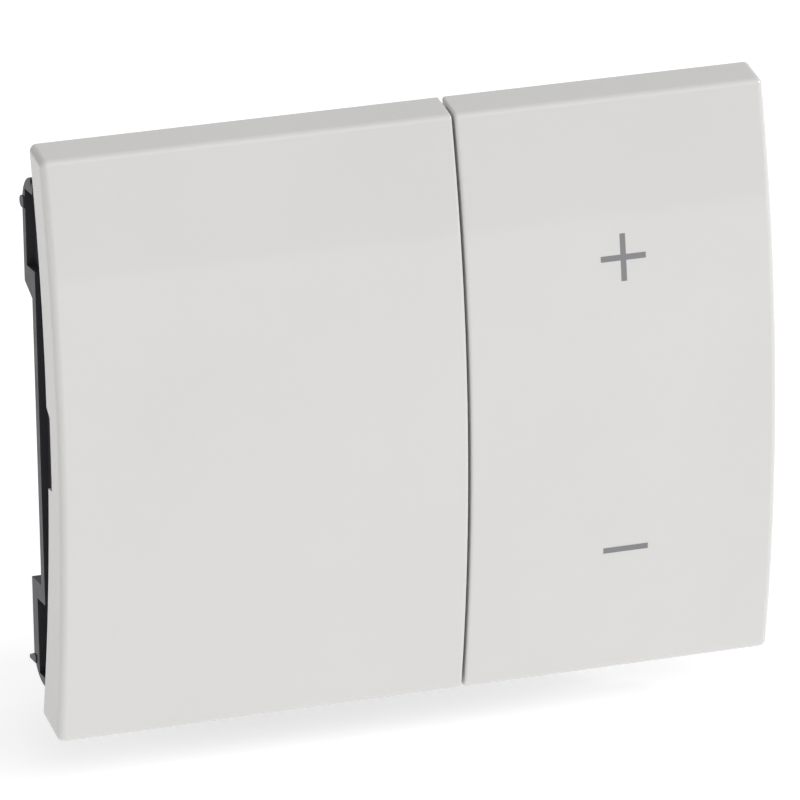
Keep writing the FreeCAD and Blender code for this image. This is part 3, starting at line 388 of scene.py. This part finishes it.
def chip_legs(shape):
    """Eight gull-wing legs on each of two sides."""
    count, pitch, sheet, half = 8, 0.8, 0.15, 0.17
    root, reach = -0.1, 1.1
    front_bend, front_heel = 0.35, 0.6
    rear_bend, rear_heel = 0.25, 0.5
    level = (CHIP_LOW.y + CHIP_HIGH.y) / 2
    outline = [
        (root, level),
        (front_bend, level),
        (front_heel, BOARD_FRONT - sheet),
        (reach, BOARD_FRONT - sheet),
        (reach, BOARD_FRONT),
        (rear_heel, BOARD_FRONT),
        (rear_bend, level + sheet),
        (root, level + sheet),
    ]
    for i in range(count):
        z = (i - (count - 1) / 2) * pitch
        for side, x in ((-1, CHIP_LOW.x), (1, CHIP_HIGH.x)):
            add_prism(shape, outline, z - half, z + half, lambda a, b, c: (x + side * a, b, c))


def smd_bodies(shape):
    """Small resistors and capacitors on the control board, without their ends."""
    reach = SMD_LENGTH / 2 - SMD_END / 2
    for x, z in SMD_SPOTS:
        low = (x - reach, BOARD_FRONT - SMD_HEIGHT, z - SMD_HALF_WIDTH)
        add_block(shape, low, (x + reach, BOARD_FRONT, z + SMD_HALF_WIDTH))


def smd_ends(shape):
    """Tinned caps that wrap both ends of every small part."""
    half = SMD_HALF_WIDTH + SMD_PLATING
    for x, z in SMD_SPOTS:
        for outer in (-SMD_LENGTH / 2, SMD_LENGTH / 2 - SMD_END):
            low = (x + outer, BOARD_FRONT - SMD_HEIGHT - SMD_PLATING, z - half)
            add_block(shape, low, (x + outer + SMD_END, BOARD_FRONT, z + half))


def solder_cones(shape):
    """Concave fillets of solder round the six header pins, on both boards."""
    count = 6
    pin_width = PINS_HIGH.z - PINS_LOW.z
    pitch = (PINS_HIGH.x - PINS_LOW.x - pin_width) / (count - 1)
    fillet = [(0.0, 0.64), (0.1, 0.54), (0.25, 0.46), (0.42, 0.42)]
    rear = [(POWER_REAR + rise, radius) for rise, radius in fillet]
    front = [(BOARD_FRONT - rise, radius) for rise, radius in reversed(fillet)]
    for i in range(count):
        centre = ((i - (count - 1) / 2) * pitch, (PINS_LOW.z + PINS_HIGH.z) / 2)
        add_turned(shape, centre, rear)
        add_turned(shape, centre, front)


# ---------------------------------------------------------------- springs

def plunger_coil(tag):
    """Copy of a packed spring, shown in its place, with the packed spring hidden.
    """
    node = "plunger_spring_" + tag
    mesh = NODES[node].data.copy()
    mesh.transform(NODES[node].matrix_world)
    coil = bpy.data.objects.new("coil_" + tag, mesh)
    bpy.context.scene.collection.objects.link(coil)
    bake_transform(coil)
    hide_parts(node)


for tag in PLUNGER_TAGS:
    plunger_coil(tag)

make_piece("terminal_surround", terminal_surround, housing, rounding=0.12)
make_piece("strip_gauge", strip_gauge, housing, rounding=0.06)
make_piece("ejector_marks", ejector_marks, housing)
make_piece("housing_side_ribs", side_ribs, housing, rounding=0.1)
make_piece("chip_legs", chip_legs, tin, rounding=0.02)
make_piece("smd_bodies", smd_bodies, black, rounding=0.05)
make_piece("smd_ends", smd_ends, tin, rounding=0.05)
make_piece("solder_cones", solder_cones, tin)


# ---------------------------------------------------------------- studio

LOW, HIGH = CAD_BOX
CENTRE = (LOW + HIGH) / 2
# FLOOR_DROP is the gap under the part. FLOOR_FRONT is the distance from the origin to the front edge.
FLOOR_SIZE = 12.0
FLOOR_DROP = 0.004
FLOOR_FRONT = 1.2
FLOOR_GLOW = 0.6


def pale_floor():
    """White light table that keeps shadows faint. The glossy keys reflect its front edge."""
    dark, light = (0.66, 0.66, 0.66), (0.7, 0.7, 0.7)
    material, tree, shader = new_material("pale_floor")
    tree.links.new(tint(tree, noise(tree, 3), dark, light), shader.inputs["Base Color"])
    shader.inputs["Roughness"].default_value = 0.8
    shader.inputs["Emission Color"].default_value = (1, 1, 1, 1)
    shader.inputs["Emission Strength"].default_value = FLOOR_GLOW
    middle_y = FLOOR_SIZE / 2 - FLOOR_FRONT
    bpy.ops.mesh.primitive_plane_add(size=FLOOR_SIZE, location=(0, middle_y, LOW.z - FLOOR_DROP))
    floor = bpy.context.object
    floor.name = "floor"
    floor.data.materials.append(material)


def area_light(name, location, side, power):
    """Square lamp, with its side in metres and its power in watts, that faces the part's centre."""
    light = bpy.data.lights.new(name, "AREA")
    light.shape = "SQUARE"
    light.size = side
    light.energy = power
    item = bpy.data.objects.new(name, light)
    item.location = location
    item.rotation_mode = "QUATERNION"
    item.rotation_quaternion = (CENTRE - Vector(location)).to_track_quat("-Z", "Y")
    bpy.context.scene.collection.objects.link(item)


def studio_world(dim, bright, towards):
    """Soft surroundings that brighten evenly from one side of the studio to the other."""
    world = bpy.data.worlds.new("studio")
    bpy.context.scene.world = world
    world.use_nodes = True
    tree = world.node_tree
    background = tree.nodes["Background"]
    background.inputs["Color"].default_value = (1, 1, 1, 1)
    coordinates = add_node(tree, "ShaderNodeTexCoord")
    along = add_node(tree, "ShaderNodeVectorMath", operation="DOT_PRODUCT")
    along.inputs[1].default_value = Vector(towards).normalized()
    tree.links.new(coordinates.outputs["Generated"], along.inputs[0])
    ends = {"From Min": -1, "From Max": 1, "To Min": dim, "To Max": bright}
    fade = add_node(tree, "ShaderNodeMapRange", ends)
    tree.links.new(along.outputs["Value"], fade.inputs["Value"])
    tree.links.new(fade.outputs["Result"], background.inputs["Strength"])


pale_floor()
studio_world(dim=0.06, bright=0.93, towards=(0.8, -0.3, 0.42))
area_light("front_softbox", (0.15, -1.0, 0.75), side=1.1, power=3.6)
area_light("right_kicker", (0.8, -0.2, 0.42), side=0.1, power=1.3)


# ---------------------------------------------------------------- camera

# Azimuth, elevation and roll in degrees. The distance counts from the plane of the keys' front edges.
CAMERA_ANGLES = (19.6, 17.75, 1.06)
CAMERA_DISTANCE = 759 * MM
CAMERA_LENS = 412.8
CAMERA_SHIFT = (-0.01525, 0.0137)
CAMERA_CLIP = (0.05, 20)
KEY_EDGE_Y = -5.6 * MM


def studio_camera():
    """Long lens, 20 degrees to the left of the front and 18 degrees above it."""
    azimuth, elevation, roll = (math.radians(angle) for angle in CAMERA_ANGLES)
    forward = Vector((
        math.sin(azimuth) * math.cos(elevation),
        math.cos(azimuth) * math.cos(elevation),
        -math.sin(elevation),
    ))
    right = Vector((math.cos(azimuth), -math.sin(azimuth), 0))
    up = right.cross(forward)
    c, s = math.cos(roll), math.sin(roll)
    camera_x, camera_y = c * right - s * up, s * right + c * up
    key_edge = Vector((0, KEY_EDGE_Y, 0))
    data = bpy.data.cameras.new("camera")
    data.sensor_width = 36
    data.lens = CAMERA_LENS
    data.shift_x, data.shift_y = CAMERA_SHIFT
    data.clip_start, data.clip_end = CAMERA_CLIP
    camera = bpy.data.objects.new("camera", data)
    rotation = Matrix((camera_x, camera_y, -forward)).transposed()
    place = Matrix.Translation(key_edge - CAMERA_DISTANCE * forward)
    camera.matrix_world = place @ rotation.to_4x4()
    bpy.context.scene.collection.objects.link(camera)
    bpy.context.scene.camera = camera


studio_camera()
bpy.context.scene.view_settings.view_transform = "Standard"
bpy.context.scene.view_settings.look = "None"
